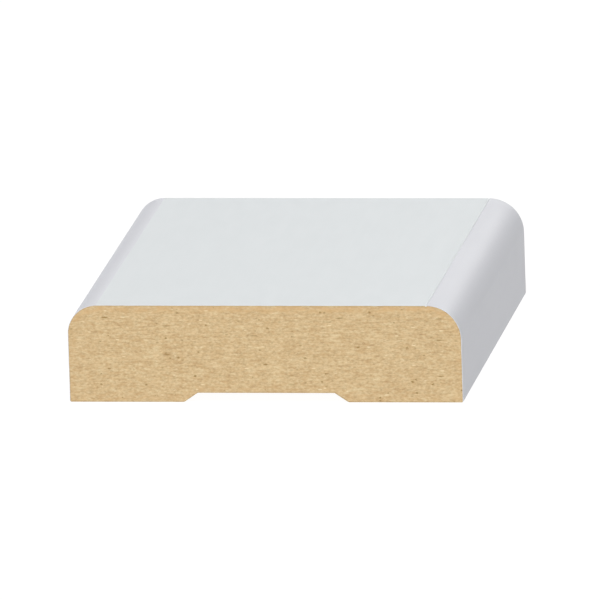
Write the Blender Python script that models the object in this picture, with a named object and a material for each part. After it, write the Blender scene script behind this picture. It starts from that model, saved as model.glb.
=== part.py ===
"""Casing moulding: a short length of primed fibreboard door and window casing, cut square at both ends.

The piece lies on its back with its face up. X runs across the face, Y along the run, and Z from the back
to the face. The origin is under the middle of the piece, in the plane of the two flat lands of its back.
All sizes are in metres.
"""

import math

import bmesh
import bpy

# Cut piece
FACE_WIDTH = 0.0635
THICKNESS = 0.015875
LENGTH = 0.0762

# Rounds that run along the two long arrises of the face
LEFT_ROUND_RADIUS = 0.00476
RIGHT_ROUND_RADIUS = 0.00556
ROUND_STEPS = 24

# Relief along the middle of the back, which leaves a flat land on each side of it
RELIEF_MOUTH_WIDTH = 0.0265
RELIEF_SLOPE_RUN = 0.0022
RELIEF_DEPTH = 0.0015

# Finish: primer on the face, the rounds and the edges, and bare board on the back and the cut ends
PRIMER_COLOUR = (0.72, 0.74, 0.755, 1.0)
PRIMER_ROUGHNESS = 0.5
BOARD_COLOUR = (0.63, 0.45, 0.245, 1.0)
BOARD_ROUGHNESS = 0.9

# A face that leans less than this from straight up, down or along the run counts as facing that way
FACING_TOLERANCE = math.radians(1)
SHARP_ANGLE = math.radians(30)


def clear_scene():
    for old in list(bpy.data.objects):
        bpy.data.objects.remove(old)


def plain_material(name, colour, roughness):
    material = bpy.data.materials.new(name)
    material.use_nodes = True
    shader = material.node_tree.nodes["Principled BSDF"]
    shader.inputs["Base Color"].default_value = colour
    shader.inputs["Roughness"].default_value = roughness
    shader.inputs["Metallic"].default_value = 0.0
    material.diffuse_color = colour
    return material


def relief_outline():
    """The relief's corners as (x, z), from the left land to the right land."""
    half_mouth = RELIEF_MOUTH_WIDTH / 2
    half_floor = half_mouth - RELIEF_SLOPE_RUN
    return [
        (-half_mouth, 0.0),
        (-half_floor, RELIEF_DEPTH),
        (half_floor, RELIEF_DEPTH),
        (half_mouth, 0.0),
    ]


def square_profile():
    """The cross-section as (x, z) before its two face arrises are rounded."""
    half_width = FACE_WIDTH / 2
    return [
        (-half_width, 0.0),
        *relief_outline(),
        (half_width, 0.0),
        (half_width, THICKNESS),
        (-half_width, THICKNESS),
    ]


def extrude_profile(mesh, profile):
    """Draws the profile at the front end and extrudes it along the run to the back end."""
    front = mesh.faces.new([mesh.verts.new((x, -LENGTH / 2, z)) for x, z in profile])
    extruded = bmesh.ops.extrude_face_region(mesh, geom=[front])
    moved = [item for item in extruded["geom"] if isinstance(item, bmesh.types.BMVert)]
    bmesh.ops.translate(mesh, verts=moved, vec=(0.0, LENGTH, 0.0))
    bmesh.ops.recalc_face_normals(mesh, faces=mesh.faces)


def face_arris(mesh, side):
    """The long edge between the face and the left edge (side -1) or the right edge (side +1)."""
    def at_corner(vertex):
        return vertex.co.z > THICKNESS / 2 and vertex.co.x * side > 0

    return [edge for edge in mesh.edges
            if all(at_corner(vertex) for vertex in edge.verts)
            and abs(edge.verts[0].co.y - edge.verts[1].co.y) > LENGTH / 2]


def round_arris(mesh, side, radius):
    bmesh.ops.bevel(mesh, geom=face_arris(mesh, side), offset=radius, offset_type="OFFSET",
                    segments=ROUND_STEPS, profile=0.5, affect="EDGES")


def is_bare(normal):
    """True for the back, the relief and the cut ends, which carry no primer."""
    faces_down = normal.z < -math.sin(FACING_TOLERANCE)
    faces_along = abs(normal.y) > math.cos(FACING_TOLERANCE)
    return faces_down or faces_along


def build_moulding():
    mesh = bmesh.new()
    extrude_profile(mesh, square_profile())
    round_arris(mesh, -1, LEFT_ROUND_RADIUS)
    round_arris(mesh, 1, RIGHT_ROUND_RADIUS)
    mesh.normal_update()
    for face in mesh.faces:
        face.material_index = 1 if is_bare(face.normal) else 0

    data = bpy.data.meshes.new("casing_moulding")
    mesh.to_mesh(data)
    mesh.free()
    data.materials.append(plain_material("white_primer", PRIMER_COLOUR, PRIMER_ROUGHNESS))
    data.materials.append(plain_material("bare_fibreboard", BOARD_COLOUR, BOARD_ROUGHNESS))
    data.shade_smooth()
    data.set_sharp_from_angle(angle=SHARP_ANGLE)

    moulding = bpy.data.objects.new("casing_moulding", data)
    bpy.context.scene.collection.objects.link(moulding)
    return moulding


clear_scene()
build_moulding()
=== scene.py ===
"""Casing moulding: a short length of primed fibreboard door and window casing, ready for a picture.

The packed frame holds the plain solid of the piece. The moulding made here takes its place, with the same
section. It adds what a moulder, a saw and a coat of primer leave on the real thing: the film's thin edge at
the cuts, the torn fibres of the sawn ends, the eased edges of the back, and the witness line where a cutter
met the face.
X runs across the face, Y along the run and Z from the back to the face. All sizes are in metres.
"""

import math
import random

import bmesh
import bpy
from bpy.props import FloatProperty, FloatVectorProperty, IntProperty, PointerProperty
from mathutils import Matrix, Vector, noise
from mathutils.kdtree import KDTree


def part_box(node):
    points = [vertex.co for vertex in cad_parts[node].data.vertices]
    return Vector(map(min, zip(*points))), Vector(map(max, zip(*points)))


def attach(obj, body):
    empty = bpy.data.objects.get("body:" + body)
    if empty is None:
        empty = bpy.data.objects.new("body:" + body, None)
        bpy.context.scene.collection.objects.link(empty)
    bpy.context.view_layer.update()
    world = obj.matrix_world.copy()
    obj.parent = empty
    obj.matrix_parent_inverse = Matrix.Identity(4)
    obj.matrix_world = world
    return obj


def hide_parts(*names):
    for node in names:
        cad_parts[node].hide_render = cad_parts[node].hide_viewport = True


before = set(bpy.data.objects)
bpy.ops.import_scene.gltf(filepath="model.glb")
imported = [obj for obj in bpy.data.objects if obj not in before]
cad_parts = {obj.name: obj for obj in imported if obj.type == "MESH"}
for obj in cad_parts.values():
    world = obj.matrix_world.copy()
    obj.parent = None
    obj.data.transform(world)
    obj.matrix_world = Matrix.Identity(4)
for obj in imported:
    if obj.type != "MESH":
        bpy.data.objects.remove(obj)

bl_info = {
    "name": "Casing Moulding",
    "version": (1, 0, 0),
    "blender": (4, 5, 0),
    "location": "3D View > Sidebar > Casing",
    "description": "Models a short length of primed fibreboard casing and a light table to picture it on",
    "category": "Add Mesh",
}

# The plain solid in the frame, and what stands for it here
SOLID = "casing_moulding"
PIECE = "primed_casing"
BODY = "root"

LOW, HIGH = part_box(SOLID)
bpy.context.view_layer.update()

MM = 0.001
X_AXIS = Vector((1, 0, 0))
Y_AXIS = Vector((0, 1, 0))
Z_AXIS = Vector((0, 0, 1))

# Two places closer than this are the same place
SAME_PLACE = 0.001 * MM
# A face whose normal is this much along an axis faces that way
FACES_ALONG = 0.9
# A face whose normal goes this far down, or farther, looks down
LOOKS_DOWN = -0.000001

# Material slots of the piece
PRIMER, SAWN, MACHINED = range(3)

# Attributes that the sculpted ends hand on to their finish
TORN = "torn"
FROM_RIM = "from_rim"

# A cut takes a corner that is nearer than this share of a cell as it is
SNAP_SHARE = 0.2
# Width, in cells, of the narrow band beside each end that keeps the sculpted cells apart from the long faces
END_BAND = 3
# The rim along the back lies within this many thicknesses of the film from it
RIM_ROOM = 2
# A bevel with this profile is part of a circle
ROUND_PROFILE = 0.5
# Faces that meet at less than this angle are shaded as one curve
SMOOTH_UNDER = math.radians(50)

# Torn pits: half their length and half their height, how far they lean, and their depth beside the deepest
PIT_HALF_LENGTH = (0.18 * MM, 0.55 * MM)
PIT_HALF_HEIGHT = (0.11 * MM, 0.19 * MM)
PIT_LEAN = math.radians(7)
PIT_SHARE = (0.35, 1.0)
# Sculpted fibres: length, height and share of the long bundles and of the finer strands on them
BUNDLE_LONG, BUNDLE_HIGH, BUNDLE_SWING = 1.3 * MM, 0.55 * MM, 0.3
STRAND_LONG, STRAND_HIGH, STRAND_SWING = 0.7 * MM, 0.3 * MM, 0.35
# How low the fibres lie where the noise is even
FIBRE_MIDDLE = 0.5
# Picks another part of the noise for the strands
STRAND_LAYER = 5
# Fibres that lie lower than this count as torn, up to this much
TORN_BELOW, TORN_MOST = 0.375, 0.6
# Width of the waves in the film's inner edge, and of the strip where the film still holds the fibres
FILM_WAVE = 0.8 * MM
HELD_STRIP = 0.35 * MM

# Nearly all of a noise texture's values lie between these two
NOISE_LOW, NOISE_HIGH = 0.3, 0.7
# Between these two a patchy noise goes over from bare to covered
PATCH_LOW, PATCH_HIGH = 0.35, 0.60
MIST_LOW, MIST_HIGH = 0.42, 0.62
# Detail and roughness of soft noises, and of those that stand for fine things
SOFT_DETAIL, SOFT_ROUGHNESS = 2.0, 0.5
FINE_DETAIL, FINER_DETAIL = 3.0, 4.0
FIBRE_ROUGHNESS, STIPPLE_ROUGHNESS = 0.65, 0.6
# How far above and below its middle level a fibre lies before it is as light or as dark as they come
LIE_REACH = 0.345
# Painted shade in the torn hollows starts at this share of the deepest
HOLLOW_SHADE_FROM = 0.1
# Marks on an end, in shares of the room that each has: how far out they reach, how soft their outline is, and
# how fine its wandering is
MARK_REACH, MARK_EDGE, MARK_WANDER = 0.5, 0.25, 3.0
# The faintest and the strongest mark, as shares of its own colour
MARK_FAINT, MARK_STRONG = 0.3, 0.78
# Slides the marks along as a place goes back through the piece, so that its two ends have different ones
END_SHIFT = 1.7

# Sockets of a mix node that mixes colours
MIX_AMOUNT, MIX_FIRST, MIX_SECOND, MIX_OUT = 0, 6, 7, 2

# The colour of the lights, and the specular level of a surface that reflects nothing
WHITE = (1, 1, 1, 1)
NO_GLOSS = 0.0

# Soft square lights. Angles are in degrees, azimuth from the front end towards the right, sizes in metres
# and powers in watts.
LIGHTS = (
    {"name": "key", "azimuth": 0, "elevation": 60, "distance": 3.0, "size": 1.2, "power": 67.5},
    {"name": "rim", "azimuth": 180, "elevation": 12, "distance": 3.0, "size": 1.2, "power": 17.5},
    {"name": "sheen", "azimuth": 170, "elevation": 14, "distance": 3.0, "size": 0.6, "power": 4.6},
    {"name": "fill", "azimuth": 300, "elevation": 8, "distance": 3.0, "size": 1.2, "power": 24.5},
)


def length(name, default, description):
    """A size in the sidebar, in metres."""
    return FloatProperty(name=name, description=description, default=default, min=0.0, precision=5,
                         subtype="DISTANCE", unit="LENGTH")


def colour(name, default, description):
    """A scene-linear colour in the sidebar."""
    return FloatVectorProperty(name=name, description=description, default=default, min=0.0, max=1.0,
                               size=3, subtype="COLOR")


def share(name, default, description):
    """A part of the whole in the sidebar, from 0 to 1."""
    return FloatProperty(name=name, description=description, default=default, min=0.0, max=1.0,
                         subtype="FACTOR")


class CasingStock(bpy.types.PropertyGroup):
    """Sizes of the strip and of the shapes that the moulder cuts in it"""

    width: length("Width", HIGH.x - LOW.x, "Across the face, from edge to edge")
    thickness: length("Thickness", HIGH.z - LOW.z, "From the back's lands to the face")
    run: length("Length", HIGH.y - LOW.y, "Along the run, from sawn end to sawn end")
    left_round: length("Left round", 4.76 * MM, "Radius of the arris on the left of the face")
    right_round: length("Right round", 5.56 * MM, "Radius of the arris on the right of the face")
    round_steps: IntProperty(name="Round steps", description="Facets in each round", default=24, min=4)
    relief_mouth: length("Relief mouth", 26.5 * MM, "Width of the relief at the back's lands")
    relief_run: length("Relief slope", 2.2 * MM, "Width of each of the relief's sloped sides")
    relief_depth: length("Relief depth", 1.5 * MM, "Depth of the relief's flat ceiling")
    eased: length("Eased arris", 0.18 * MM, "Radius left by handling on the long edges of the back")
    eased_steps: IntProperty(name="Eased steps", description="Facets in each eased arris", default=3, min=1)


class CasingTooling(bpy.types.PropertyGroup):
    """Marks that the cutter, the saw and the primer leave"""

    witness_width: length("Witness line", 0.40 * MM, "Width of the line where the right round meets the face")
    witness_depth: length("Witness depth", 0.12 * MM, "Depth of that line")
    film: length("Film edge", 0.08 * MM, "Thickness of primer that shows at the sawn ends")
    film_wander: length("Film wander", 0.025 * MM, "How far the film's inner edge wanders")
    cell: length("Cell", 0.18 * MM, "Spacing of the cuts that let the sawn ends be sculpted")
    span: length("Span", 4.0 * MM, "Spacing of the cuts across the run")
    fibre_depth: length("Fibre depth", 0.05 * MM, "Height between a sawn end's lowest and highest fibres")
    pit_depth: length("Pit depth", 0.13 * MM, "Depth of the deepest hole where the saw pulled fibres out")
    pits: IntProperty(name="Pits", description="Torn holes in each sawn end", default=60, min=0)
    seed: IntProperty(name="Seed", description="Picks another set of torn fibres and pits", default=11)


class CasingFinish(bpy.types.PropertyGroup):
    """Colours of the primer and the board, with the primer on the rounds and sides painted a shade darker
    than the face
    """

    primer: colour("Primer", (0.692, 0.724, 0.735), "Primer on the flat of the face")
    # Painted shade: the rounds, sides and edges get this darker primer so that they look as if in shade
    shaded_primer: colour("Primer on rounds", (0.672, 0.679, 0.716), "Primer on the rounds and edges")
    board_dark: colour("Dark fibres", (0.447, 0.288, 0.139), "Fibres that lie low")
    board_light: colour("Light fibres", (0.743, 0.603, 0.365), "Fibres that stand up")
    bark: colour("Bark", (0.265, 0.165, 0.045), "Specks and slivers of bark")
    pale: colour("Pale fibres", (0.840, 0.705, 0.450), "Short fibres that catch the light")
    skin: colour("Board skin", (0.640, 0.420, 0.205), "Warmer patches of board beside the primer")
    machined: colour("Machined board", (0.500, 0.355, 0.185), "Sanded and machined back of the strip")


class CasingGrain(bpy.types.PropertyGroup):
    """Sizes of the board's fibres and marks, along and up a sawn end, and how strongly they show"""

    fibre: length("Fibre", 0.48 * MM, "Width of a bundle of fibres")
    fibre_high: length("Fibre height", 0.25 * MM, "Height of a bundle of fibres")
    strand: length("Strand", 2.4 * MM, "Width of the longer strands")
    strand_high: length("Strand height", 0.32 * MM, "Height of the longer strands")
    clump: length("Clump", 3.2 * MM, "Width of the cloudy patches")
    clump_high: length("Clump height", 1.2 * MM, "Height of the cloudy patches")
    strand_share: share("Strand share", 0.42, "How strongly the strands show, beside the bundles")
    clump_share: share("Clump share", 0.26, "How strongly the patches show, beside the bundles")
    speck: length("Speck", 0.66 * MM, "Room that a speck of bark takes up")
    speck_high: length("Speck height", 0.44 * MM, "Height of that room")
    specks: share("Specks", 0.055, "Share of the places with a speck of bark in them")
    sliver: length("Sliver", 2.0 * MM, "Room that a sliver of bark takes up")
    sliver_high: length("Sliver height", 0.40 * MM, "Height of that room")
    slivers: share("Slivers", 0.012, "Share of the places with a sliver of bark in them")
    fleck: length("Fleck", 0.90 * MM, "Room that a pale fibre takes up")
    fleck_high: length("Fleck height", 0.27 * MM, "Height of that room")
    flecks: share("Flecks", 0.045, "Share of the places with a pale fibre in them")
    warm: length("Warm fibres", 1.0 * MM, "Width of the patches of warmer fibres")
    warm_high: length("Warm fibre height", 0.45 * MM, "Height of those patches")
    warmth: share("Warmth", 0.33, "Strength of the warmer patches")
    ragged: share("Ragged", 0.5, "How far the outlines of specks, slivers and flecks wander")
    relief: length("Fibre relief", 0.05 * MM, "Height of the fibres that are too fine to sculpt")


class CasingCoat(bpy.types.PropertyGroup):
    """How evenly the primer lies on the face and on the rounds, and where the rounds' painted shade begins"""

    # Width of the step from the face's primer into the painted shade of the rounds
    shade_edge: length("Change of tone", 0.15 * MM, "Width of the change from the face's primer to a round's")
    mottle: length("Mottle", 9.0 * MM, "Width of the faint patches in the primer")
    mottle_run: length("Mottle length", 22.0 * MM, "Length of those patches along the run")
    mottling: share("Mottling", 0.003, "How far the patches differ from the primer's colour")
    streak: length("Streak", 0.7 * MM, "Width of the faint streaks that the coater leaves")
    streak_run: length("Streak length", 55.0 * MM, "Length of the streaks along the run")
    streaking: share("Streaking", 0.003, "How far the streaks differ from the primer's colour")
    sheen: length("Sheen patch", 2.0 * MM, "Width of the patches that dry smoother or rougher")
    sheen_run: length("Sheen patch length", 6.0 * MM, "Length of those patches along the run")
    smoothest: share("Smoothest", 0.53, "Roughness of the smoothest patches")
    roughest: share("Roughest", 0.57, "Roughness of the roughest patches")
    gloss: share("Gloss", 0.35, "Specular level of the dry primer")
    stipple: length("Stipple", 0.45 * MM, "Width of the bumps that fibres raise under the primer")
    stipple_run: length("Stipple length", 0.6 * MM, "Length of those bumps along the run")
    stipple_depth: length("Stipple depth", 0.02 * MM, "Height of those bumps on the rounds")
    flat_stipple: share("Stipple on the face", 0.3, "Their height on the face, as a share of that")


class CasingEnds(bpy.types.PropertyGroup):
    """Tones of the sawn ends, from the outline inwards, with painted shade in the torn hollows"""

    skin_full: length("Skin", 0.7 * MM, "How far in from the outline the warmer skin is strongest")
    skin_reach: length("Skin reach", 1.6 * MM, "How far in from the outline the skin ends")
    skin_shallow: length("Skin under the face", 1.0 * MM, "How far below the face the skin begins to fade")
    skin_deep: length("Skin fade", 4.0 * MM, "How far below the face the skin has faded")
    skin_low: share("Skin elsewhere", 0.3, "Strength of the skin along the rest of the outline")
    patch: length("Skin patch", 1.6 * MM, "Width of the patches in the skin")
    patch_high: length("Skin patch height", 0.7 * MM, "Height of those patches")
    patch_faint: share("Faintest patch", 0.1, "Strength of the skin between its patches")
    patch_strong: share("Strongest patch", 0.6, "Strength of the skin in its patches")
    # Painted shade: how dark the deepest torn hollows are coloured, beside the rest
    hollow_shade: share("Torn tone", 0.80, "Tone of the most torn places, beside the rest")
    seam_near: length("Seam", 0.12 * MM, "How far in from the outline the seam beside the film is darkest")
    seam_far: length("Seam reach", 0.30 * MM, "How far in from the outline that seam ends")
    seam_tone: share("Seam tone", 0.86, "Tone of the seam, beside the rest")
    roughness: share("End roughness", 0.95, "Roughness of the sawn fibres")
    gloss: share("End gloss", 0.15, "Specular level of the sawn fibres")


class CasingBack(bpy.types.PropertyGroup):
    """Tones and tool marks of the machined back"""

    closeness: share("Closeness", 0.6, "How far the machined tone hides the fibres")
    mist: share("Mist", 0.6, "Strength of the mist of primer along the edges")
    mist_reach: length("Mist reach", 3.2 * MM, "How far in from the edges the mist of primer reaches")
    mist_patch: length("Mist patch", 1.1 * MM, "Width of the mist's patches")
    mist_patch_run: length("Mist patch length", 4.0 * MM, "Length of those patches along the run")
    wave: length("Planer wave", 1.6 * MM, "From one faint wave that the planer leaves to the next")
    wave_tone: share("Wave tone", 0.02, "How far the waves differ in tone")
    wave_relief: share("Wave relief", 0.12, "Height of the waves, beside that of the fibres")
    wobble: FloatProperty(name="Wobble", description="How far a wave strays from its place", default=2.0,
                          subtype="ANGLE")
    wobble_size: length("Wobble size", 6.0 * MM, "Width of the patches in which the waves stray alike")
    relief: length("Back relief", 0.015 * MM, "Height of the fibres on the back")
    roughness: share("Back roughness", 0.85, "Roughness of the machined board")
    gloss: share("Back gloss", 0.2, "Specular level of the machined board")


class CasingStudio(bpy.types.PropertyGroup):
    """Camera, lights and table"""

    lens: FloatProperty(name="Lens", description="Focal length", default=1500.0, min=1.0, unit="CAMERA")
    azimuth: FloatProperty(name="Azimuth", description="How far right of the cut end the camera stands",
                           default=math.radians(8.450), subtype="ANGLE")
    elevation: FloatProperty(name="Elevation", description="How far above the table the camera stands",
                             default=math.radians(13.085), subtype="ANGLE")
    roll: FloatProperty(name="Roll", description="Turn of the camera that levels the cut end",
                        default=math.radians(-1.847), subtype="ANGLE")
    distance: length("Distance", 4.0279, "From the camera to the point it looks at")
    aim: FloatVectorProperty(name="Aim", description="Point the camera looks at", subtype="TRANSLATION",
                             default=(0.283 * MM, 0.010 * MM, 7.800 * MM), unit="LENGTH")
    table: colour("Table", (0.10, 0.10, 0.10), "Opal top of the light table, apart from its glow")
    table_radius: length("Table radius", 6.0, "Far enough to fill the picture behind the piece")
    table_sides: IntProperty(name="Table sides", description="Straight sides of the round table", default=96,
                             min=3)
    table_roughness: share("Table roughness", 0.9, "Roughness of the table's top")
    table_gap: length("Table gap", 0.02 * MM, "Clearance that keeps the table's top off the back's lands")
    table_glow: FloatProperty(name="Table glow", description="Light that comes through the table's top",
                              default=0.95, min=0.0)
    room: FloatProperty(name="Room", description="Light that comes from all round", default=0.215, min=0.0)


def near(value, target):
    """Tells whether two places on one axis are the same."""
    return abs(value - target) < SAME_PLACE


def edited():
    """The mesh being edited."""
    return bmesh.from_edit_mesh(bpy.context.object.data)


def select(kind, wanted):
    """Selects, in edit mode, only the VERT, EDGE or FACE elements that are wanted."""
    bpy.ops.mesh.select_mode(type=kind)
    bpy.ops.mesh.select_all(action="DESELECT")
    mesh = edited()
    parts = {"VERT": mesh.verts, "EDGE": mesh.edges, "FACE": mesh.faces}[kind]
    for part in parts:
        if wanted(part):
            part.select_set(True)
    bmesh.update_edit_mesh(bpy.context.object.data)


def cut(axis, places, snap=SAME_PLACE):
    """Cuts right through the piece, square to an axis, at each place. A corner nearer than snap is kept."""
    for place in places:
        bpy.ops.mesh.select_all(action="SELECT")
        bpy.ops.mesh.bisect(plane_co=axis * place, plane_no=axis, threshold=snap)


def evenly(low, high, spacing):
    """Places between two ends, without the ends themselves, about one spacing apart."""
    count = max(1, round((high - low) / spacing))
    return [low + (high - low) * step / count for step in range(1, count)]


def saw_blank(stock):
    """The strip as ripped and sawn: a plain block, lying on its back."""
    bpy.ops.object.select_all(action="DESELECT")
    bpy.ops.mesh.primitive_cube_add(size=1, location=(0, 0, stock.thickness / 2),
                                    scale=(stock.width, stock.run, stock.thickness))
    bpy.ops.object.transform_apply(location=True, rotation=True, scale=True)
    piece = bpy.context.object
    piece.name = piece.data.name = PIECE
    return piece


def mill_relief(stock):
    """Raises the middle of the back into a flat hollow with sloped sides."""
    half_mouth = stock.relief_mouth / 2
    half_ceiling = half_mouth - stock.relief_run
    cut(X_AXIS, [-half_mouth, -half_ceiling, half_ceiling, half_mouth])
    reach = half_ceiling + SAME_PLACE
    select("VERT", lambda corner: near(corner.co.z, 0) and abs(corner.co.x) < reach)
    bpy.ops.transform.translate(value=(0, 0, stock.relief_depth))
    for x in (-half_ceiling, half_ceiling):
        select("EDGE", runs_at(x, stock.relief_depth))
        bpy.ops.mesh.mark_sharp()


def runs_at(x, z):
    """A test for edges that run along the piece at that place in its section."""
    return lambda edge: all(near(end.co.x, x) and near(end.co.z, z) for end in edge.verts)


def round_arris(x, z, radius, steps):
    """Rounds the long edge at that place in the section."""
    select("EDGE", runs_at(x, z))
    bpy.ops.mesh.bevel(offset_type="OFFSET", offset=radius, segments=steps, profile=ROUND_PROFILE,
                       affect="EDGES", clamp_overlap=False)


def shape_section(stock):
    """Rounds the two arrises of the face and eases the four of the back."""
    half_width = stock.width / 2
    round_arris(-half_width, stock.thickness, stock.left_round, stock.round_steps)
    round_arris(half_width, stock.thickness, stock.right_round, stock.round_steps)
    half_mouth = stock.relief_mouth / 2
    for x in (-half_width, -half_mouth, half_mouth, half_width):
        round_arris(x, 0, stock.eased, stock.eased_steps)


def score_witness(stock, tooling):
    """Sinks the fine line along the face where the right round begins."""
    line = stock.width / 2 - stock.right_round
    half = tooling.witness_width / 2
    cut(X_AXIS, [line - half, line, line + half])
    select("VERT", lambda corner: near(corner.co.x, line) and near(corner.co.z, stock.thickness))
    bpy.ops.transform.translate(value=(0, 0, -tooling.witness_depth))
    for x, depth in ((line - half, 0), (line, tooling.witness_depth), (line + half, 0)):
        select("EDGE", runs_at(x, stock.thickness - depth))
        bpy.ops.mesh.mark_sharp()


def faces_end(face):
    """Tells whether a face looks along the run, as those of the two ends do."""
    return abs(face.normal.y) > FACES_ALONG


def is_bare_back(face, stock):
    """Tells whether a face belongs to the back, its relief, or the eased arrises between them."""
    within = abs(face.calc_center_median().x) < stock.width / 2 - stock.eased / 2
    return within and face.normal.z < LOOKS_DOWN


def is_bare_rim(face, stock, tooling):
    """Tells whether a face of the thin rim round an end lies along the back, where there is no film."""
    middle = face.calc_center_median()
    within = abs(middle.x) < stock.width / 2 - stock.eased - tooling.film
    return within and middle.z < stock.relief_depth + RIM_ROOM * tooling.film


def lay_film(stock, tooling):
    """Sets apart the film's edge round each sawn end, and gives every face its finish."""
    select("FACE", faces_end)
    bpy.ops.mesh.inset(thickness=tooling.film, use_even_offset=True)
    for face in edited().faces:
        if not faces_end(face):
            face.material_index = MACHINED if is_bare_back(face, stock) else PRIMER
        elif face.select or is_bare_rim(face, stock, tooling):
            face.material_index = SAWN
        else:
            face.material_index = PRIMER
    bmesh.update_edit_mesh(bpy.context.object.data)


def cut_cells(stock, tooling):
    """Divides the ends into cells small enough for torn fibres, and the long faces into short spans."""
    half_width = stock.width / 2 - tooling.film
    half_run = stock.run / 2
    snap = tooling.cell * SNAP_SHARE
    band = tooling.cell * END_BAND
    cut(X_AXIS, evenly(-half_width, half_width, tooling.cell), snap)
    cut(Z_AXIS, evenly(tooling.film, stock.thickness - tooling.film, tooling.cell), snap)
    cut(Y_AXIS, [band - half_run, *evenly(-half_run, half_run, tooling.span), half_run - band])


def on_end(corner, stock):
    """Tells whether a corner lies in the plane of either end."""
    return near(abs(corner.co.y), stock.run / 2)


def section_place(corner):
    """A corner's place in the section, as a flat vector."""
    return Vector((corner.co.x, 0, corner.co.z))


def rim_tree(corners):
    """The outline of an end, for finding how far inside it a place is."""
    rim = [corner for corner in corners if any(not faces_end(face) for face in corner.link_faces)]
    tree = KDTree(len(rim))
    for index, corner in enumerate(rim):
        tree.insert(section_place(corner), index)
    tree.balance()
    return tree


def smooth_step(value):
    """Eases from 0 to 1 as a value goes from 0 to 1, and stays there beyond."""
    value = min(max(value, 0.0), 1.0)
    return value * value * (3 - 2 * value)


class Pit:
    """A hole where the saw pulled a bundle of fibres out of an end."""

    def __init__(self, draw, stock):
        self.x = draw.uniform(-stock.width / 2, stock.width / 2)
        self.z = draw.uniform(0, stock.thickness)
        self.half_length = draw.uniform(*PIT_HALF_LENGTH)
        self.half_height = draw.uniform(*PIT_HALF_HEIGHT)
        self.lean = draw.gauss(0, PIT_LEAN)
        self.share = draw.uniform(*PIT_SHARE)

    def depth_at(self, place):
        """How deep the hole is at a place, as a share of the deepest pit."""
        across, up = place.x - self.x, place.z - self.z
        along = across * math.cos(self.lean) + up * math.sin(self.lean)
        aside = up * math.cos(self.lean) - across * math.sin(self.lean)
        reach = math.hypot(along / self.half_length, aside / self.half_height)
        return self.share * smooth_step(1 - reach) if reach < 1 else 0.0


class Pits:
    """The holes in one end, found by their places."""

    def __init__(self, stock, tooling, side):
        draw = random.Random(tooling.seed + side)
        self.pits = [Pit(draw, stock) for _ in range(tooling.pits)]
        self.tree = KDTree(len(self.pits))
        for index, pit in enumerate(self.pits):
            self.tree.insert((pit.x, 0, pit.z), index)
        self.tree.balance()

    def depth_at(self, place):
        """How deep the deepest hole is at a place, as a share of the deepest pit."""
        near_by = self.tree.find_range(place, max(PIT_HALF_LENGTH))
        return max((self.pits[index].depth_at(place) for _, index, _ in near_by), default=0.0)


def fibres_at(place, layer):
    """How low the fibres lie at a place of an end, from 0 to 1: long bundles with finer strands on them."""
    bundles = noise.noise(Vector((place.x / BUNDLE_LONG, layer, place.z / BUNDLE_HIGH)))
    strands = noise.noise(Vector((place.x / STRAND_LONG, layer + STRAND_LAYER, place.z / STRAND_HIGH)))
    return min(max(FIBRE_MIDDLE + BUNDLE_SWING * bundles + STRAND_SWING * strands, 0.0), 1.0)


def tear_fibres(mesh, stock, tooling, side):
    """Sculpts one sawn end, and notes on its corners how torn they are and how far in."""
    torn = mesh.verts.layers.float[TORN]
    from_rim = mesh.verts.layers.float[FROM_RIM]
    pits = Pits(stock, tooling, side)
    corners = [corner for corner in mesh.verts if on_end(corner, stock) and corner.co.y * side > 0]
    rim = rim_tree(corners)
    for corner in corners:
        place = section_place(corner)
        outline, _, inside = rim.find(place)
        finishes = {face.material_index for face in corner.link_faces if faces_end(face)}
        if finishes == {PRIMER, SAWN} and inside > SAME_PLACE:
            wander = noise.noise(place / FILM_WAVE + Y_AXIS * side)
            corner.co += (place - outline).normalized() * wander * tooling.film_wander
        free = smooth_step((inside - tooling.film) / HELD_STRIP)
        low = fibres_at(place, tooling.seed * side)
        hole = pits.depth_at(place)
        corner.co.y -= side * free * (low * tooling.fibre_depth + hole * tooling.pit_depth)
        loose = TORN_MOST * smooth_step((low - TORN_BELOW) / (1 - TORN_BELOW))
        # How deep a corner lies in a torn hollow; the sawn finish paints this as shade
        corner[torn] = free * max(hole, loose)
        corner[from_rim] = inside


def sculpt_ends(piece, stock, tooling):
    """Tears the fibres of both sawn ends, on the mesh outside edit mode."""
    mesh = bmesh.new()
    mesh.from_mesh(piece.data)
    mesh.verts.layers.float.new(TORN)
    mesh.verts.layers.float.new(FROM_RIM)
    for side in (-1, 1):
        tear_fibres(mesh, stock, tooling, side)
    mesh.to_mesh(piece.data)
    mesh.free()


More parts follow.
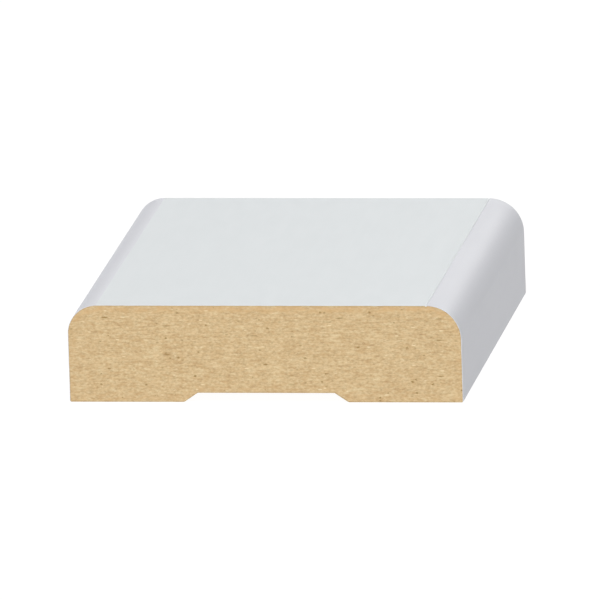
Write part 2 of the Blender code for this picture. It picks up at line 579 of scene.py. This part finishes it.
class Finish:
    """A material's nodes, added one at a time and joined as they are used."""

    def __init__(self, name):
        self.material = bpy.data.materials.new(name)
        self.material.use_nodes = True
        self.tree = self.material.node_tree
        self.shader = self.tree.nodes["Principled BSDF"]
        self.place = self.node("ShaderNodeTexCoord").outputs["Object"]

    def node(self, kind, **settings):
        """Adds a node of a kind, with those settings."""
        made = self.tree.nodes.new(kind)
        for name, value in settings.items():
            setattr(made, name, value)
        return made

    def feed(self, socket, value):
        """Joins an output to a socket, or sets the socket's own value."""
        if isinstance(value, bpy.types.NodeSocket):
            self.tree.links.new(value, socket)
        else:
            socket.default_value = value

    def scaled(self, size):
        """The place on the piece, counted in steps of a size along each axis."""
        mapping = self.node("ShaderNodeMapping")
        self.feed(mapping.inputs["Vector"], self.place)
        mapping.inputs["Scale"].default_value = [1 / side for side in size]
        return mapping.outputs["Vector"]

    def grain(self, size, detail=SOFT_DETAIL, roughness=SOFT_ROUGHNESS):
        """Cloudy grain, from 0 to 1, with features of a size along each axis."""
        texture = self.node("ShaderNodeTexNoise")
        self.feed(texture.inputs["Vector"], self.scaled(size))
        texture.inputs["Scale"].default_value = 1.0
        texture.inputs["Detail"].default_value = detail
        texture.inputs["Roughness"].default_value = roughness
        return texture.outputs["Fac"]

    def along(self, axis):
        """The place along one axis, in metres."""
        return self.axes().outputs[axis]

    def axes(self):
        """The place on the piece, split into its X, Y and Z."""
        split = self.node("ShaderNodeSeparateXYZ")
        self.feed(split.inputs["Vector"], self.place)
        return split

    def maths(self, operation, *values):
        """The result of an operation on values or outputs."""
        made = self.node("ShaderNodeMath", operation=operation)
        for socket, value in zip(made.inputs, values):
            self.feed(socket, value)
        return made.outputs["Value"]

    def between(self, value, low, high, start=0.0, end=1.0):
        """Goes smoothly from start to end as a value goes from low to high, which may also be below low."""
        made = self.node("ShaderNodeMapRange", interpolation_type="SMOOTHSTEP")
        for name, number in (("Value", value), ("From Min", low), ("From Max", high), ("To Min", start),
                             ("To Max", end)):
            self.feed(made.inputs[name], number)
        return made.outputs["Result"]

    def varied(self, pattern, amount):
        """A factor that follows a noise, from 1 less the amount to 1 and the amount."""
        return self.between(pattern, NOISE_LOW, NOISE_HIGH, 1 - amount, 1 + amount)

    def marks(self, width, height, chance, ragged):
        """Scattered marks with uneven outlines on an end, each in a room of that width and height."""
        axes = self.axes().outputs
        slid = self.maths("MULTIPLY_ADD", axes["Y"], END_SHIFT, axes["X"])
        flat = self.node("ShaderNodeCombineXYZ")
        self.feed(flat.inputs["X"], self.maths("DIVIDE", slid, width))
        self.feed(flat.inputs["Y"], self.maths("DIVIDE", axes["Z"], height))
        wander = self.node("ShaderNodeTexNoise", noise_dimensions="2D")
        self.feed(wander.inputs["Vector"], flat.outputs["Vector"])
        wander.inputs["Scale"].default_value = MARK_WANDER
        drift = self.node("ShaderNodeVectorMath", operation="MULTIPLY_ADD")
        self.feed(drift.inputs[0], wander.outputs["Color"])
        drift.inputs[1].default_value = (ragged, ragged, ragged)
        self.feed(drift.inputs[2], flat.outputs["Vector"])
        cells = self.node("ShaderNodeTexVoronoi", voronoi_dimensions="2D")
        self.feed(cells.inputs["Vector"], drift.outputs["Vector"])
        cells.inputs["Scale"].default_value = 1.0
        lot = self.node("ShaderNodeSeparateColor")
        self.feed(lot.inputs["Color"], cells.outputs["Color"])
        reach = self.between(lot.outputs["Red"], 1 - chance, 1, 0.0, MARK_REACH)
        inside = self.maths("SUBTRACT", reach, cells.outputs["Distance"])
        strength = self.between(lot.outputs["Green"], 0.0, 1.0, MARK_FAINT, MARK_STRONG)
        return self.maths("MULTIPLY", self.between(inside, 0.0, MARK_EDGE), strength)

    def attribute(self, name):
        """A number that the mesh carries on its corners."""
        made = self.node("ShaderNodeAttribute", attribute_name=name)
        return made.outputs["Fac"]

    def blend(self, amount, first, second):
        """One colour going over to another as an amount goes from 0 to 1."""
        made = self.node("ShaderNodeMix", data_type="RGBA")
        self.feed(made.inputs[MIX_AMOUNT], amount)
        for socket, tint in ((made.inputs[MIX_FIRST], first), (made.inputs[MIX_SECOND], second)):
            self.feed(socket, tint if isinstance(tint, bpy.types.NodeSocket) else (*tint, 1.0))
        return made.outputs[MIX_OUT]

    def shade(self, tint, *factors):
        """A colour made darker or lighter by each factor in turn."""
        for factor in factors:
            made = self.node("ShaderNodeVectorMath", operation="SCALE")
            self.feed(made.inputs[0], tint)
            self.feed(made.inputs["Scale"], factor)
            tint = made.outputs["Vector"]
        return tint

    def bump(self, height, depth):
        """Puts a height, from 0 to 1, on the surface as relief of that depth in metres."""
        made = self.node("ShaderNodeBump")
        made.inputs["Strength"].default_value = 1.0
        self.feed(made.inputs["Distance"], depth)
        self.feed(made.inputs["Height"], height)
        self.feed(self.shader.inputs["Normal"], made.outputs["Normal"])

    def wear(self, tint, roughness, gloss):
        """Gives the surface its colour, its roughness and its specular level."""
        self.feed(self.shader.inputs["Base Color"], tint)
        self.feed(self.shader.inputs["Roughness"], roughness)
        self.feed(self.shader.inputs["Specular IOR Level"], gloss)


def white_primer(stock, finish, coat):
    """Water-based primer, flow-coated: smooth on the flat of the face, a little fuzzier on the rounds, which
    with the sides carry painted shade.
    """
    film = Finish("white_primer")
    left = stock.left_round - stock.width / 2
    right = stock.width / 2 - stock.right_round
    # Painted shade: off the flat of the face, on the rounds and sides, the primer takes the darker colour
    off_face = film.maths("MAXIMUM", film.between(film.along("X"), left, left - coat.shade_edge),
                      film.between(film.along("X"), right, right + coat.shade_edge))
    tint = film.blend(off_face, finish.primer, finish.shaded_primer)
    mottle = film.varied(film.grain((coat.mottle, coat.mottle_run, coat.mottle)), coat.mottling)
    lines = film.grain((coat.streak, coat.streak_run, coat.streak), FINE_DETAIL)
    streaks = film.varied(lines, coat.streaking)
    dried = film.grain((coat.sheen, coat.sheen_run, coat.sheen))
    roughness = film.between(dried, NOISE_LOW, NOISE_HIGH, coat.smoothest, coat.roughest)
    film.wear(film.shade(tint, mottle, streaks), roughness, coat.gloss)
    stipple = film.grain((coat.stipple, coat.stipple_run, coat.stipple), FINE_DETAIL, STIPPLE_ROUGHNESS)
    raised = film.between(off_face, 0.0, 1.0, coat.flat_stipple, 1.0)
    film.bump(film.maths("MULTIPLY", stipple, raised), coat.stipple_depth)
    return film.material


def lay_fibres(board, finish, grain):
    """The fibres' colour, and how high they stand from 0 to 1. They lie flat in the board."""
    fibres = board.grain((grain.fibre, grain.fibre, grain.fibre_high), FINER_DETAIL, FIBRE_ROUGHNESS)
    strands = board.grain((grain.strand, grain.strand, grain.strand_high))
    clumps = board.grain((grain.clump, grain.clump, grain.clump_high))
    lie = board.maths("MULTIPLY_ADD", strands, grain.strand_share, fibres)
    lie = board.maths("MULTIPLY_ADD", clumps, grain.clump_share, lie)
    level = (1 + grain.strand_share + grain.clump_share) / 2
    light = board.between(lie, level - LIE_REACH, level + LIE_REACH)
    return board.blend(light, finish.board_dark, finish.board_light), fibres


def warm_skin(board, stock, ends):
    """How strongly the board's warmer skin shows at a place of an end: patchy, and mostly under the face."""
    by_rim = board.between(board.attribute(FROM_RIM), ends.skin_reach, ends.skin_full)
    faded, full = stock.thickness - ends.skin_deep, stock.thickness - ends.skin_shallow
    under_face = board.between(board.along("Z"), faded, full, ends.skin_low, 1.0)
    patchy = board.grain((ends.patch, ends.patch, ends.patch_high))
    patches = board.between(patchy, PATCH_LOW, PATCH_HIGH, ends.patch_faint, ends.patch_strong)
    return board.maths("MULTIPLY", board.maths("MULTIPLY", by_rim, under_face), patches)


def sawn_board(stock, finish, grain, ends):
    """Freshly sawn fibreboard: flat-lying fibres, bits of bark, a warmer skin beside the primer, and painted
    shade in the torn hollows.
    """
    board = Finish("sawn_board")
    tint, fibres = lay_fibres(board, finish, grain)
    warm = board.grain((grain.warm, grain.warm, grain.warm_high))
    tint = board.blend(board.between(warm, NOISE_LOW, NOISE_HIGH, 0.0, grain.warmth), tint, finish.skin)
    tint = board.blend(warm_skin(board, stock, ends), tint, finish.skin)
    for width, height, chance, mark in (
            (grain.fleck, grain.fleck_high, grain.flecks, finish.pale),
            (grain.speck, grain.speck_high, grain.specks, finish.bark),
            (grain.sliver, grain.sliver_high, grain.slivers, finish.bark)):
        tint = board.blend(board.marks(width, height, chance, grain.ragged), tint, mark)
    # Painted shade: the deeper a place lies in a torn hollow, the darker it is coloured
    torn = board.between(board.attribute(TORN), HOLLOW_SHADE_FROM, 1.0, 1.0, ends.hollow_shade)
    seam = board.between(board.attribute(FROM_RIM), ends.seam_near, ends.seam_far, ends.seam_tone, 1.0)
    board.wear(board.shade(tint, torn, seam), ends.roughness, ends.gloss)
    board.bump(fibres, grain.relief)
    return board.material


def machined_board(stock, finish, grain, back):
    """The bare back: closer and darker than a sawn end, with the planer's waves and a mist of primer."""
    board = Finish("machined_board")
    tint, fibres = lay_fibres(board, finish, grain)
    tint = board.blend(back.closeness, tint, finish.machined)
    across = board.maths("ABSOLUTE", board.along("X"))
    by_edge = board.between(across, stock.width / 2 - back.mist_reach, stock.width / 2, 0.0, back.mist)
    patchy = board.grain((back.mist_patch, back.mist_patch_run, back.mist_patch), FINER_DETAIL)
    mist = board.maths("MULTIPLY", by_edge, board.between(patchy, MIST_LOW, MIST_HIGH))
    # The mist of primer on the back takes the rounds' darker colour, which carries painted shade
    tint = board.blend(mist, tint, finish.shaded_primer)
    stray = board.maths("MULTIPLY", board.grain([back.wobble_size] * 3), back.wobble)
    waves = board.maths("SINE", board.maths("MULTIPLY_ADD", board.along("Y"), math.tau / back.wave, stray))
    planed = board.between(waves, -1.0, 1.0, 1 - back.wave_tone, 1 + back.wave_tone)
    board.wear(board.shade(tint, planed), back.roughness, back.gloss)
    board.bump(board.maths("MULTIPLY_ADD", waves, back.wave_relief, fibres), back.relief)
    return board.material


class CASING_OT_moulding(bpy.types.Operator):
    """Models the length of casing: sawn, relieved, rounded, primed, and cut square at both ends"""

    bl_idname = "casing.moulding"
    bl_label = "Casing Moulding"
    bl_options = {"REGISTER", "UNDO"}

    def execute(self, context):
        scene = context.scene
        stock, tooling = scene.casing_stock, scene.casing_tooling
        finish, grain = scene.casing_finish, scene.casing_grain
        piece = saw_blank(stock)
        piece.data.materials.append(white_primer(stock, finish, scene.casing_coat))
        piece.data.materials.append(sawn_board(stock, finish, grain, scene.casing_ends))
        piece.data.materials.append(machined_board(stock, finish, grain, scene.casing_back))
        bpy.ops.object.mode_set(mode="EDIT")
        mill_relief(stock)
        shape_section(stock)
        score_witness(stock, tooling)
        lay_film(stock, tooling)
        cut_cells(stock, tooling)
        bpy.ops.object.mode_set(mode="OBJECT")
        sculpt_ends(piece, stock, tooling)
        bpy.ops.object.shade_smooth_by_angle(angle=SMOOTH_UNDER)
        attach(piece, BODY)
        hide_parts(SOLID)
        return {"FINISHED"}


def lay_table(studio):
    """The glowing white top of a light table, just below the piece."""
    bpy.ops.object.select_all(action="DESELECT")
    bpy.ops.mesh.primitive_circle_add(vertices=studio.table_sides, radius=studio.table_radius,
                                      fill_type="NGON", location=(0, 0, -studio.table_gap))
    table = bpy.context.object
    table.name = "light_table"
    top = Finish("light_table")
    top.wear((*studio.table, 1.0), studio.table_roughness, NO_GLOSS)
    top.shader.inputs["Emission Color"].default_value = WHITE
    top.shader.inputs["Emission Strength"].default_value = studio.table_glow
    table.data.materials.append(top.material)


def hang_light(name, azimuth, elevation, distance, size, power):
    """A soft square light, aimed at the piece from a direction given in degrees."""
    turn = (Matrix.Rotation(math.radians(azimuth), 4, "Z")
            @ Matrix.Rotation(math.radians(90 - elevation), 4, "X"))
    place = turn @ Vector((0, 0, distance))
    bpy.ops.object.light_add(type="AREA", location=place, rotation=turn.to_euler())
    light = bpy.context.object
    light.name = light.data.name = name
    light.data.shape = "SQUARE"
    light.data.size = size
    light.data.energy = power
    light.visible_camera = False


def light_room(studio):
    """Faint light from all round, and the soft lights."""
    world = bpy.data.worlds.new("white_room")
    world.use_nodes = True
    background = world.node_tree.nodes["Background"]
    background.inputs["Color"].default_value = WHITE
    background.inputs["Strength"].default_value = studio.room
    bpy.context.scene.world = world
    for light in LIGHTS:
        hang_light(**light)


def set_camera(studio):
    """A long lens that looks along the run, a little from the right and from above."""
    turn = (Matrix.Rotation(studio.azimuth, 4, "Z")
            @ Matrix.Rotation(math.pi / 2 - studio.elevation, 4, "X")
            @ Matrix.Rotation(studio.roll, 4, "Z"))
    place = Vector(studio.aim) + turn @ Vector((0, 0, studio.distance))
    bpy.ops.object.camera_add(location=place, rotation=turn.to_euler())
    camera = bpy.context.object
    camera.name = camera.data.name = "camera"
    camera.data.lens = studio.lens
    camera.data.clip_end = 2 * studio.distance
    bpy.context.scene.camera = camera


class CASING_OT_stage(bpy.types.Operator):
    """Sets the piece on a light table, with soft lights and a long-lens camera"""

    bl_idname = "casing.stage"
    bl_label = "Light Table"
    bl_options = {"REGISTER", "UNDO"}

    def execute(self, context):
        studio = context.scene.casing_studio
        lay_table(studio)
        light_room(studio)
        set_camera(studio)
        context.scene.view_settings.view_transform = "Standard"
        return {"FINISHED"}


class CASING_PT_sidebar(bpy.types.Panel):
    """Lists every setting, and the buttons that model the piece and set the stage"""

    bl_idname = "CASING_PT_sidebar"
    bl_label = "Casing Moulding"
    bl_space_type = "VIEW_3D"
    bl_region_type = "UI"
    bl_category = "Casing"

    def draw(self, context):
        for name, group in GROUPS.items():
            box = self.layout.box()
            box.label(text=group.__doc__)
            for setting in group.__annotations__:
                box.prop(getattr(context.scene, name), setting)
        for operator in (CASING_OT_moulding, CASING_OT_stage):
            self.layout.operator(operator.bl_idname)


GROUPS = {
    "casing_stock": CasingStock,
    "casing_tooling": CasingTooling,
    "casing_finish": CasingFinish,
    "casing_grain": CasingGrain,
    "casing_coat": CasingCoat,
    "casing_ends": CasingEnds,
    "casing_back": CasingBack,
    "casing_studio": CasingStudio,
}
CLASSES = (*GROUPS.values(), CASING_OT_moulding, CASING_OT_stage, CASING_PT_sidebar)


def register():
    for made in CLASSES:
        bpy.utils.register_class(made)
    for name, group in GROUPS.items():
        setattr(bpy.types.Scene, name, PointerProperty(type=group))


def unregister():
    for name in GROUPS:
        delattr(bpy.types.Scene, name)
    for made in reversed(CLASSES):
        bpy.utils.unregister_class(made)


def main():
    """Models the moulding and sets the stage."""
    register()
    bpy.ops.casing.moulding()
    bpy.ops.casing.stage()


if __name__ == "__main__":
    main()
